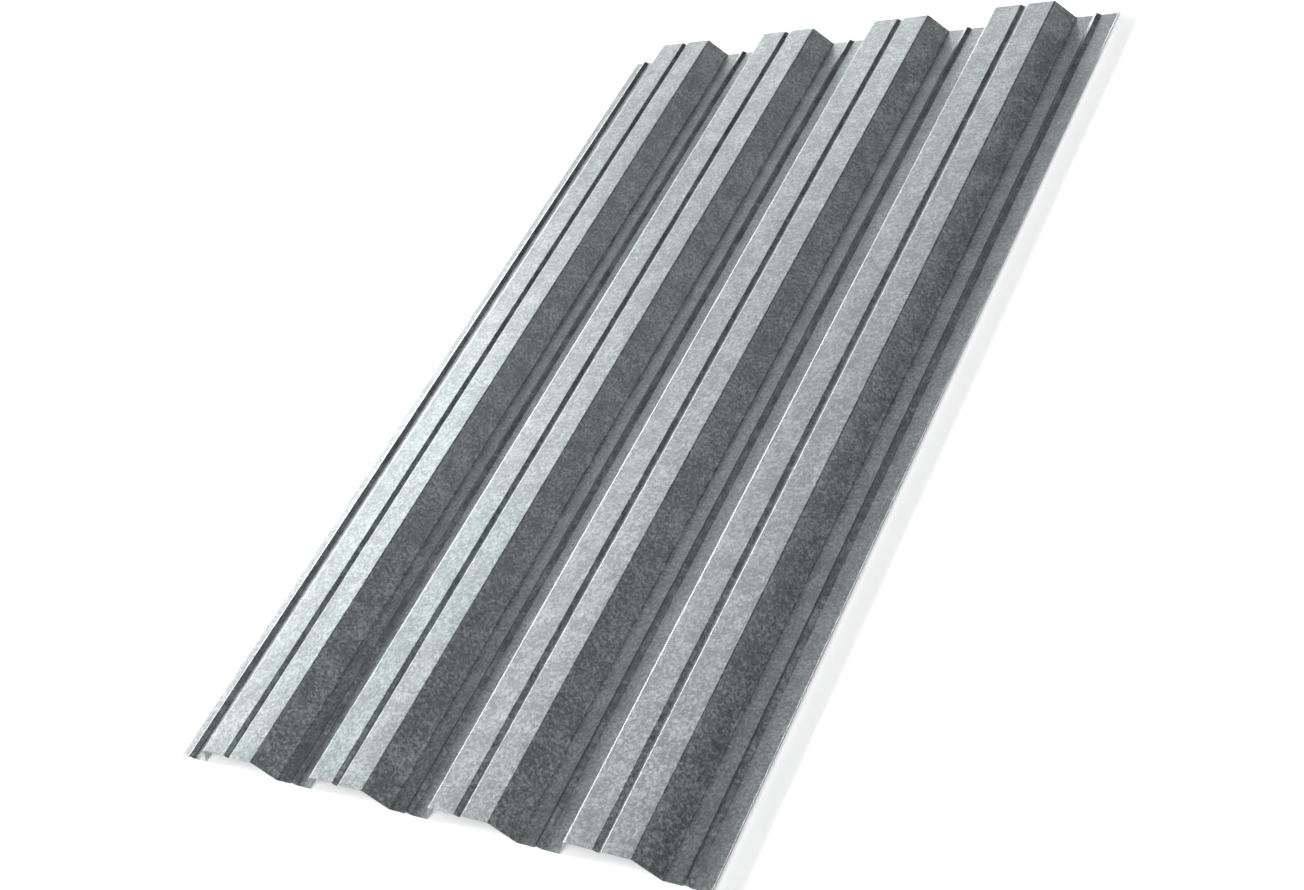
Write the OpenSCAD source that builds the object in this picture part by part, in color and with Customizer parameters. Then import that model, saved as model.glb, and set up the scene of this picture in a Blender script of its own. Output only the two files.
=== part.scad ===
// Trapezoidal profiled steel sheet, rolled from one strip.
// Four broad crowns stand on narrower valleys. Each crown has a shallow groove rolled down its
// middle, and each valley has a small ridge. One side ends in a part-width valley, and the other
// in a full valley with a short upturned lip.
// The sheet lies flat: X runs across the profile, Y along the ribs and Z up. The origin is the
// centre of its footprint, level with the underside of the valleys.

/* [Sheet] */
// Length of the sheet along its ribs
sheet_l = 1800; // [600:10:6000]
// Thickness of the steel
gauge = 0.7; // [0.5:0.05:1.5]
// Number of crowns
crowns = 4; // [1:1:6]

/* [Profile] */
// Distance from one crown to the next
pitch = 250; // [205:1:350]
// Depth of the profile, from the underside of a valley to the top of a crown
depth = 42; // [25:0.5:80]
// Width of a crown's top, between its two folds
crown_w = 115; // [50:0.5:155]
// Sideways run of each sloping web
web_run = 28.5; // [10:0.5:45]
// Inside radius of the folds at the top and foot of each web
fold_r = 3.5; // [1:0.1:8]

/* [Crown groove] */
// Width of the groove at the crown's surface
groove_w = 15; // [10:0.5:30]
// Width of the groove's flat bottom
groove_floor_w = 3; // [2:0.5:6]
// Depth of the groove
groove_depth = 4.5; // [2:0.1:8]
// Inside radius of the groove's folds
groove_r = 1.5; // [0.5:0.1:2]

/* [Valley ridge] */
// Width of the ridge at its foot
ridge_w = 15; // [10:0.5:30]
// Height of the ridge
ridge_h = 5.4; // [2:0.1:8]
// Inside radius of the ridge's folds
ridge_r = 1.5; // [0.5:0.1:2]

/* [Side edges] */
// Width of the flat strip between the plain edge and the first ridge
plain_strip_w = 15; // [4:0.5:60]
// Length of the upturned lip, measured up its slope
lip_l = 16.5; // [6:0.5:40]

/* [Hidden] */

// Flat pieces that stand for the arc of one fold
arc_steps = 4;

// The profile is drawn along the middle of the steel's thickness, half a gauge above the floor.
half_gauge = gauge / 2;
web_h = depth - gauge;
web_angle = atan2(web_h, web_run);
valley_w = pitch - crown_w - 2 * web_run;
first_web_x = plain_strip_w + (valley_w + ridge_w) / 2;
lip_x = first_web_x + crowns * pitch;
lip_end_x = lip_x + lip_l * cos(web_angle);
lip_end_h = lip_l * sin(web_angle);
// Overall width, out to the lower corner of the lip's sheared edge
sheet_w = lip_end_x + half_gauge * sin(web_angle);

// Each fold's radius, to the middle of the steel
web_fold_r = fold_r + half_gauge;
groove_fold_r = groove_r + half_gauge;
ridge_fold_r = ridge_r + half_gauge;

// A fold is [x, z, radius], where x and z are the corner before it is rounded.
// These are the folds of a ridge in the middle of the full valley that ends at x.
function ridge(x) =
    let (mid = x - valley_w / 2)
    [
        [mid - ridge_w / 2, 0, ridge_fold_r],
        [mid, ridge_h, ridge_fold_r],
        [mid + ridge_w / 2, 0, ridge_fold_r]
    ];

// The folds of a crown whose first web starts at x.
function crown(x) =
    let (left = x + web_run)
    let (right = left + crown_w)
    let (mid = (left + right) / 2)
    let (groove_z = web_h - groove_depth)
    [
        [x, 0, web_fold_r],
        [left, web_h, web_fold_r],
        [mid - groove_w / 2, web_h, groove_fold_r],
        [mid - groove_floor_w / 2, groove_z, groove_fold_r],
        [mid + groove_floor_w / 2, groove_z, groove_fold_r],
        [mid + groove_w / 2, web_h, groove_fold_r],
        [right, web_h, web_fold_r],
        [right + web_run, 0, web_fold_r]
    ];

function join(lists) = [for (list = lists) for (item = list) item];

// Every fold from the plain edge to the lip, with the two free edges first and last.
folds = join([
    [[0, 0, 0]],
    ridge(first_web_x),
    join([
        for (i = [0 : crowns - 1])
            let (x = first_web_x + i * pitch)
            concat(crown(x), ridge(x + pitch))
    ]),
    [[lip_x, 0, web_fold_r]],
    [[lip_end_x, lip_end_h, 0]]
]);

// The flat that leads from fold i to the next one, as a vector
function flat(i) = [folds[i + 1][0] - folds[i][0], folds[i + 1][1] - folds[i][1]];
function heading(v) = atan2(v[1], v[0]);
function left_of(angle) = [-sin(angle), cos(angle)];

// The arc of fold i as stations of [x, z, heading]. It touches the flats before and after it.
function fold_arc(i) =
    let (before = heading(flat(i - 1)))
    let (bend = heading(flat(i)) - before)
    let (corner = [folds[i][0], folds[i][1]])
    let (radius = folds[i][2] * sign(bend))
    let (start = corner - radius * tan(bend / 2) * flat(i - 1) / norm(flat(i - 1)))
    let (centre = start + radius * left_of(before))
    [
        for (k = [0 : arc_steps])
            let (angle = before + bend * k / arc_steps)
            let (point = centre - radius * left_of(angle))
            [point[0], point[1], angle]
    ];

stations = join([
    [[0, 0, 0]],
    join([for (i = [1 : len(folds) - 2]) fold_arc(i)]),
    [[lip_end_x, lip_end_h, web_angle]]
]);

// One face of the steel, at the distance d to the left of the middle of its thickness.
function face(d) = [for (s = stations) [s[0], s[1]] + d * left_of(s[2])];
function reversed(list) = [for (i = [len(list) - 1 : -1 : 0]) list[i]];

module sheet() {
    color([0.66, 0.69, 0.70])
    translate([-sheet_w / 2, sheet_l / 2, half_gauge])
    rotate([90, 0, 0])
    linear_extrude(height = sheet_l)
    polygon(concat(face(half_gauge), reversed(face(-half_gauge))));
}

sheet();
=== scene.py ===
"""A sheet of galvanised trapezoidal steel, rolled from one strip, lying flat on a pale studio floor."""
import math
from collections import namedtuple

import bpy
from mathutils import Matrix, Vector, noise


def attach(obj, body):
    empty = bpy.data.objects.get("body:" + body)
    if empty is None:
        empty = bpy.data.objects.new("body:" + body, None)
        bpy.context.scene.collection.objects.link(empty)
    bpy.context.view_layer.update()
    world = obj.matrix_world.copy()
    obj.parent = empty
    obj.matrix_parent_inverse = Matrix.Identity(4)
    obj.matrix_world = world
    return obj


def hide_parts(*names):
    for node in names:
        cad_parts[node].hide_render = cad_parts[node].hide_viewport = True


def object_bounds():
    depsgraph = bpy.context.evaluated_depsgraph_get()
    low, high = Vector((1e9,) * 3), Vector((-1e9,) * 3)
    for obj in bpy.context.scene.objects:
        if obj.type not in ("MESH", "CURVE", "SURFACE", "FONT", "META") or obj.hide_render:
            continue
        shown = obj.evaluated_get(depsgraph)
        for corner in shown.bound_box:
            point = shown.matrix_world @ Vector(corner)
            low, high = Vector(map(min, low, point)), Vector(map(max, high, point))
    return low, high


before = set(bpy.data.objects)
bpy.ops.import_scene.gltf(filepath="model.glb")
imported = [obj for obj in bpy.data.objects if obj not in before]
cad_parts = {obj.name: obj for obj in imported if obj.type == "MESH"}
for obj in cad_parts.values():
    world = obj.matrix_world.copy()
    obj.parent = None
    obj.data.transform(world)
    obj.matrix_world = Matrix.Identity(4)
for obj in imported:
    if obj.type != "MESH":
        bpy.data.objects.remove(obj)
cad_low, cad_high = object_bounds()

# ---------------------------------------------------------------- the rolled profile, in metres
MM = 0.001

GAUGE = 0.7 * MM
CROWNS = 4
PITCH = 250 * MM
CROWN_WIDTH = 115 * MM
WEB_RUN = 28.5 * MM
FOLD_RADIUS = 3.5 * MM          # inside the fold, as are the next two radii

GROOVE_WIDTH = 15 * MM
GROOVE_FLOOR = 3 * MM
GROOVE_DEPTH = 4.5 * MM
GROOVE_RADIUS = 1.5 * MM

RIDGE_WIDTH = 15 * MM
RIDGE_HEIGHT = 5.4 * MM
RIDGE_RADIUS = 1.5 * MM

LIP_LENGTH = 16.5 * MM

LENGTH = cad_high.y - cad_low.y
DEPTH = cad_high.z - cad_low.z
WEB_HEIGHT = DEPTH - GAUGE
WEB_ANGLE = math.atan2(WEB_HEIGHT, WEB_RUN)
VALLEY_WIDTH = PITCH - CROWN_WIDTH - 2 * WEB_RUN
LIP_X = cad_high.x - GAUGE / 2 * math.sin(WEB_ANGLE) - LIP_LENGTH * math.cos(WEB_ANGLE)
FIRST_WEB_X = LIP_X - CROWNS * PITCH

# How finely the skin is drawn
FOLD_STEPS = 6                  # flat pieces round one fold
FLAT_STEP = 14 * MM             # widest strip across a flat
ROWS = 73                       # cross-sections along the sheet

# Spacing of the flat layout's pieces, and the width it gives a cut edge
UV_GAP = 12 * MM
UV_EDGE = 8 * MM

# Thin flats between two folds bow a little when they leave the rolls, each in its own way
BOW = 0.25 * MM
BOW_LENGTH = 420 * MM
BOW_SEED = 3.7

# Folds whose facets turn by more than this show as a crease
CREASE = math.radians(40)


def ridge(x):
    """The folds of the ridge in the middle of the full valley that ends at x."""
    mid = x - VALLEY_WIDTH / 2
    return [
        (mid - RIDGE_WIDTH / 2, 0.0, RIDGE_RADIUS),
        (mid, RIDGE_HEIGHT, RIDGE_RADIUS),
        (mid + RIDGE_WIDTH / 2, 0.0, RIDGE_RADIUS),
    ]


def crown(x):
    """The folds of the crown whose first web starts at x, with its groove."""
    left = x + WEB_RUN
    right = left + CROWN_WIDTH
    mid = (left + right) / 2
    floor_z = WEB_HEIGHT - GROOVE_DEPTH
    return [
        (x, 0.0, FOLD_RADIUS),
        (left, WEB_HEIGHT, FOLD_RADIUS),
        (mid - GROOVE_WIDTH / 2, WEB_HEIGHT, GROOVE_RADIUS),
        (mid - GROOVE_FLOOR / 2, floor_z, GROOVE_RADIUS),
        (mid + GROOVE_FLOOR / 2, floor_z, GROOVE_RADIUS),
        (mid + GROOVE_WIDTH / 2, WEB_HEIGHT, GROOVE_RADIUS),
        (right, WEB_HEIGHT, FOLD_RADIUS),
        (right + WEB_RUN, 0.0, FOLD_RADIUS),
    ]


def profile_folds():
    """Every fold from the plain edge to the lip, with the two free edges first and last."""
    folds = [(cad_low.x, 0.0, 0.0)] + ridge(FIRST_WEB_X)
    for i in range(CROWNS):
        x = FIRST_WEB_X + i * PITCH
        folds += crown(x) + ridge(x + PITCH)
    folds.append((LIP_X, 0.0, FOLD_RADIUS))
    lip_end = (LIP_X + LIP_LENGTH * math.cos(WEB_ANGLE), LIP_LENGTH * math.sin(WEB_ANGLE), 0.0)
    return folds + [lip_end]


# A point of the profile on the middle of the steel: where it is, which way the strip runs there,
# which flat it is on, and how far across that flat it is, from 0 to 1.
Station = namedtuple("Station", "at heading flat across")


def fold_arc(before, fold, after, flat):
    """The stations of one fold's arc, which touches the flats on both sides of it."""
    corner = Vector(fold[:2])
    arrive = (corner - Vector(before[:2])).normalized()
    leave = (Vector(after[:2]) - corner).normalized()
    start_heading = math.atan2(arrive.y, arrive.x)
    bend = math.atan2(leave.y, leave.x) - start_heading
    radius = math.copysign(fold[2] + GAUGE / 2, bend)
    start = corner - radius * math.tan(bend / 2) * arrive
    centre = start + radius * Vector((-arrive.y, arrive.x))
    stations = []
    for k in range(FOLD_STEPS + 1):
        heading = start_heading + bend * k / FOLD_STEPS
        at = centre - radius * Vector((-math.sin(heading), math.cos(heading)))
        stations.append(Station(at, heading, flat, 0.0))
    return stations


def flat_between(a, b, flat):
    """The stations across a flat, between the end of one fold and the start of the next."""
    steps = max(1, math.ceil((b.at - a.at).length / FLAT_STEP))
    return [
        Station(a.at.lerp(b.at, k / steps), a.heading, flat, k / steps) for k in range(1, steps)
    ]


def profile_stations():
    """Every station from the plain edge to the lip, round the folds and across the flats."""
    folds = profile_folds()
    arcs = [
        fold_arc(folds[i - 1], folds[i], folds[i + 1], i) for i in range(1, len(folds) - 1)
    ]
    first = Station(Vector(folds[0][:2]), 0.0, 0, 0.0)
    last = Station(Vector(folds[-1][:2]), WEB_ANGLE, len(folds), 0.0)
    stations = [first]
    for i, arc in enumerate(arcs + [[last]]):
        stations += flat_between(stations[-1], arc[0], i) + arc
    return stations


# ---------------------------------------------------------------- the sheet's skin
def bowed(station, y):
    """A station's place at y along the sheet, with the small bow of its flat."""
    drift = noise.noise(Vector((y / BOW_LENGTH, station.flat * BOW_SEED, 0.5)))
    # 0 at both folds and 1 halfway between them
    belly = 4 * station.across * (1 - station.across)
    bow = BOW * drift * belly
    return station.at + bow * Vector((-math.sin(station.heading), math.cos(station.heading)))


def skin_points(stations):
    """Two grids of points, the upper face and then the underside, row by row along the sheet."""
    points = []
    for side in (0.5, -0.5):
        for row in range(ROWS):
            y = cad_low.y + LENGTH * row / (ROWS - 1)
            for s in stations:
                normal = Vector((-math.sin(s.heading), math.cos(s.heading)))
                x, z = bowed(s, y) + side * GAUGE * normal
                points.append((x, y, z + GAUGE / 2))
    return points


def skin_faces(count):
    """The faces of the two grids and of the four cut edges. The cut faces come last."""
    under = count * ROWS
    last_row = (ROWS - 1) * count
    faces = []
    for row in range(ROWS - 1):
        for s in range(count - 1):
            a = row * count + s
            b = a + count
            faces.append((a, a + 1, b + 1, b))
            faces.append((under + b, under + b + 1, under + a + 1, under + a))
    rolled = len(faces)
    for s in range(count - 1):
        faces.append((under + s, under + s + 1, s + 1, s))
        far = last_row + s
        faces.append((far, far + 1, under + far + 1, under + far))
    for row in range(ROWS - 1):
        a = row * count
        b = a + count
        faces.append((a, b, under + b, under + a))
        a += count - 1
        b += count - 1
        faces.append((under + a, under + b, b, a))
    return faces, rolled


def unroll(mesh, stations, rolled):
    """Lays the skin out flat for its textures: the upper face, the underside beside it, and the
    four cut edges as strips above them."""
    along = [0.0]
    for a, b in zip(stations, stations[1:]):
        along.append(along[-1] + (b.at - a.at).length)
    width = along[-1]
    span = 2 * width + 3 * UV_GAP
    end_faces = 2 * (len(stations) - 1)
    uvs = mesh.uv_layers.new(name="OFBake")
    for face in mesh.polygons:
        cut = face.index - rolled
        for loop in face.loop_indices:
            under, place = divmod(mesh.loops[loop].vertex_index, len(stations) * ROWS)
            row, s = divmod(place, len(stations))
            y = LENGTH * row / (ROWS - 1)
            if cut < 0:
                u = along[s] + under * (width + UV_GAP)
                v = y
            else:
                at_end = cut < end_faces
                strip = cut % 2 if at_end else 2 + cut % 2
                u = along[s] if at_end else y
                v = LENGTH + UV_GAP + strip * (UV_EDGE + UV_GAP) + under * UV_EDGE
            uvs.data[loop].uv = ((u + UV_GAP) / span, (v + UV_GAP) / span)


def make_skin():
    """The sheet's skin as one object: zinc on its rolled faces, bare steel on its cut edges."""
    stations = profile_stations()
    faces, rolled = skin_faces(len(stations))
    mesh = bpy.data.meshes.new("sheet_skin")
    mesh.from_pydata(skin_points(stations), [], faces)
    mesh.polygons.foreach_set("use_smooth", [True] * len(faces))
    mesh.polygons.foreach_set("material_index", [0] * rolled + [1] * (len(faces) - rolled))
    mesh.set_sharp_from_angle(angle=CREASE)
    unroll(mesh, stations, rolled)
    mesh.update()
    skin = bpy.data.objects.new("sheet_skin", mesh)
    bpy.context.scene.collection.objects.link(skin)
    even = skin.modifiers.new("flats_stay_flat", "WEIGHTED_NORMAL")
    even.keep_sharp = True
    return skin


# ---------------------------------------------------------------- materials
# Sizes of the zinc's pattern
CRYSTAL = 5 * MM
OUTLINE = 6 * MM                # a ragged outline's waves
OUTLINE_SHIFT = 9 * MM          # and how far they reach
CLOUD = 40 * MM
CAST = 380 * MM                 # how slowly the colour drifts

SCORE = 0.8 * MM                # lines that the shear left on a cut edge
BOARD_GRAIN = 1 / 6             # of the floor, in metres


def srgb(code):
    """An sRGB hex colour such as "#8D9696" as linear RGBA."""
    values = [int(code[i : i + 2], 16) / 255 for i in (1, 3, 5)]
    linear = [v / 12.92 if v <= 0.04045 else ((v + 0.055) / 1.055) ** 2.4 for v in values]
    return (*linear, 1.0)


def new_material(name):
    """A node material with an empty tree."""
    material = bpy.data.materials.new(name)
    material.use_nodes = True
    material.node_tree.nodes.clear()
    return material


def add_node(material, kind, settings=None, **links):
    """Adds a node. Settings are its properties or sockets, and links join its sockets to outputs."""
    node = material.node_tree.nodes.new(kind)
    for key, value in (settings or {}).items():
        if isinstance(key, str) and hasattr(node, key):
            setattr(node, key, value)
        else:
            node.inputs[key].default_value = value
    for key, output in links.items():
        socket = int(key[1:]) if key[0] == "_" else key.replace("_", " ")
        material.node_tree.links.new(node.inputs[socket], output)
    return node


def galvanised_spangle():
    """Hot-dip galvanised steel: the zinc froze in ragged crystals a few millimetres wide. Frosted
    ones carry a thin bloom of white oxide and show as pale curled flecks. Smooth ones mirror the
    studio, so they are bright on one face of the profile and dark on the next."""
    m = new_material("galvanised_steel_hot_dipped_spangle")
    here = add_node(m, "ShaderNodeTexCoord").outputs["Object"]

    # Crystal outlines are ragged, so the pattern's place is shaken before it is drawn.
    wave = add_node(m, "ShaderNodeTexNoise", {"Scale": 1 / OUTLINE, "Detail": 1.0}, Vector=here)
    centred = add_node(m, "ShaderNodeVectorMath", {"operation": "SUBTRACT", 1: (0.5, 0.5, 0.5)},
                       _0=wave.outputs["Color"])
    shaken = add_node(m, "ShaderNodeVectorMath",
                      {"operation": "MULTIPLY_ADD", 1: (OUTLINE_SHIFT,) * 3},
                      _0=centred.outputs[0], _2=here).outputs[0]

    crystal = add_node(m, "ShaderNodeTexVoronoi", {"Scale": 1 / CRYSTAL}, Vector=shaken)
    frost = add_node(m, "ShaderNodeTexNoise",
                     {"Scale": 1 / CRYSTAL, "Detail": 2.5, "Roughness": 0.58}, Vector=shaken)
    cloud = add_node(m, "ShaderNodeTexNoise", {"Scale": 1 / CLOUD, "Detail": 2.0}, Vector=here)
    drift = add_node(m, "ShaderNodeTexNoise", {"Scale": 1 / CAST, "Detail": 1.0}, Vector=here)

    # Frosted flecks gather in clouds a few centimetres wide
    gathered = add_node(m, "ShaderNodeMath", {"operation": "MULTIPLY_ADD", 1: 0.35},
                        _0=cloud.outputs["Fac"], _2=frost.outputs["Fac"])
    fleck = add_node(m, "ShaderNodeMapRange", {"From Min": 0.60, "From Max": 0.90},
                     Value=gathered.outputs[0])
    grains = add_node(m, "ShaderNodeSeparateColor", _0=crystal.outputs["Color"])
    tone = add_node(m, "ShaderNodeMath", {"operation": "MULTIPLY_ADD", 1: 0.25},
                    _0=grains.outputs["Red"], _2=fleck.outputs[0])

    # Fresh zinc is a cool grey, and drifts from a greenish to a faintly violet cast
    smooth = add_node(m, "ShaderNodeMix",
                      {"data_type": "RGBA", 6: srgb("#8A9593"), 7: srgb("#8F9396")},
                      Factor=drift.outputs["Fac"])
    frosted = add_node(m, "ShaderNodeMix",
                       {"data_type": "RGBA", 6: srgb("#B2BEBC"), 7: srgb("#B8BCBF")},
                       Factor=drift.outputs["Fac"])
    zinc = add_node(m, "ShaderNodeMix", {"data_type": "RGBA"},
                    Factor=tone.outputs[0], _6=smooth.outputs[2], _7=frosted.outputs[2])
    rough = add_node(m, "ShaderNodeMapRange", {"To Min": 0.35, "To Max": 0.40},
                     Value=tone.outputs[0])

    # The bloom is an oxide, so where it lies the surface is no longer quite all metal
    metal = add_node(m, "ShaderNodeMapRange", {"To Min": 1.0, "To Max": 0.86},
                     Value=tone.outputs[0])

    # Each crystal leans a degree or so its own way
    face = add_node(m, "ShaderNodeNewGeometry").outputs["Normal"]
    lean = add_node(m, "ShaderNodeVectorMath", {"operation": "SUBTRACT", 1: (0.5, 0.5, 0.5)},
                    _0=crystal.outputs["Color"])
    leaning = add_node(m, "ShaderNodeVectorMath", {"operation": "MULTIPLY_ADD", 1: (0.03,) * 3},
                       _0=lean.outputs[0], _2=face)
    normal = add_node(m, "ShaderNodeVectorMath", {"operation": "NORMALIZE"}, _0=leaning.outputs[0])

    surface = add_node(m, "ShaderNodeBsdfPrincipled",
                       Base_Color=zinc.outputs[2], Metallic=metal.outputs[0],
                       Roughness=rough.outputs[0], Normal=normal.outputs[0])
    add_node(m, "ShaderNodeOutputMaterial", Surface=surface.outputs[0])
    return m


def sheared_edge():
    """Steel cut by a shear: bare, brighter and finely scored across its thickness."""
    m = new_material("sheared_steel_edge")
    here = add_node(m, "ShaderNodeTexCoord").outputs["Object"]
    score = add_node(m, "ShaderNodeTexNoise", {"Scale": 1 / SCORE, "Detail": 2.0}, Vector=here)
    steel = add_node(m, "ShaderNodeMix",
                     {"data_type": "RGBA", 6: srgb("#7F8484"), 7: srgb("#A9ADAC")},
                     Factor=score.outputs["Fac"])
    rough = add_node(m, "ShaderNodeMapRange", {"To Min": 0.35, "To Max": 0.55},
                     Value=score.outputs["Fac"])
    surface = add_node(m, "ShaderNodeBsdfPrincipled", {"Metallic": 1.0},
                       Base_Color=steel.outputs[2], Roughness=rough.outputs[0])
    add_node(m, "ShaderNodeOutputMaterial", Surface=surface.outputs[0])
    return m


def studio_floor():
    """Smooth matt white board."""
    m = new_material("matt_white_board")
    here = add_node(m, "ShaderNodeTexCoord").outputs["Object"]
    grain = add_node(m, "ShaderNodeTexNoise", {"Scale": 1 / BOARD_GRAIN, "Detail": 2.0}, Vector=here)
    white = add_node(m, "ShaderNodeMix",
                     {"data_type": "RGBA", 6: srgb("#F2F3F3"), 7: srgb("#F6F6F5")},
                     Factor=grain.outputs["Fac"])
    surface = add_node(m, "ShaderNodeBsdfPrincipled", {"Roughness": 0.9},
                       Base_Color=white.outputs[2])
    add_node(m, "ShaderNodeOutputMaterial", Surface=surface.outputs[0])
    return m


# ---------------------------------------------------------------- the object
skin = make_skin()
skin.data.materials.append(galvanised_spangle())
skin.data.materials.append(sheared_edge())
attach(skin, "root")
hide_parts("sheet")

# ---------------------------------------------------------------- the studio
FLOOR_SIZE = 80.0               # metres, so that its edge is out of sight
FLOOR_GAP = 0.2 * MM            # room below the valleys for the bow of their flats

centre = (cad_low + cad_high) / 2

bpy.ops.mesh.primitive_plane_add(
    size=FLOOR_SIZE, location=(centre.x, centre.y, cad_low.z - FLOOR_GAP)
)
floor = bpy.context.object
floor.name = "floor"
floor.data.materials.append(studio_floor())

# Each soft light is a broad disc, far away: where it stands round the sheet, in degrees from +X
# towards +Y, its height in degrees, its width in degrees, and its strength in watts a square metre.
LIGHTS = {
    "key": (147, 15, 18, 0.96),
    "key_high": (156, 19, 14, 0.60),
    "key_far": (122, 8, 18, 1.10),
    "upper_far": (122, 31, 14, 0.065),
    "upper": (136, 37, 14, 0.052),
    "upper_high": (144, 48, 16, 0.062),
    "side": (181, 20, 14, 4.0),
    "right": (40, 26, 30, 0.095),
    "fill": (316, 44, 48, 4.0),
}


def soft_light(name, azimuth, height, width, strength):
    """A broad far light that shines on the whole studio from one direction."""
    data = bpy.data.lights.new(name, "SUN")
    data.angle = math.radians(width)
    data.energy = strength
    light = bpy.data.objects.new(name, data)
    light.rotation_euler = (0, math.radians(90 - height), math.radians(azimuth))
    bpy.context.scene.collection.objects.link(light)


for name, settings in LIGHTS.items():
    soft_light(name, *settings)

world = bpy.data.worlds.new("studio")
world.use_nodes = True
world.node_tree.nodes["Background"].inputs["Strength"].default_value = 0.0
bpy.context.scene.world = world

# ---------------------------------------------------------------- the camera
# It stands off the near right corner, looks down across the ribs, and is rolled on its axis.
camera_data = bpy.data.cameras.new("camera")
camera_data.lens = 48.79
camera_data.sensor_width = 36
camera_data.shift_x = 0.1141
camera_data.shift_y = -0.0192
camera = bpy.data.objects.new("camera", camera_data)
stand = Matrix.Translation((1.7710, -1.6805, 1.85555))
right = Vector((0.759015, 0.460842, -0.459914))
up = Vector((-0.044226, 0.741257, 0.669763))
back = Vector((0.649569, -0.48802, 0.583006))
turn = Matrix((right, up, back)).transposed().to_4x4()
camera.matrix_world = stand @ turn
bpy.context.scene.collection.objects.link(camera)
bpy.context.scene.camera = camera
bpy.context.scene.view_settings.view_transform = "Standard"
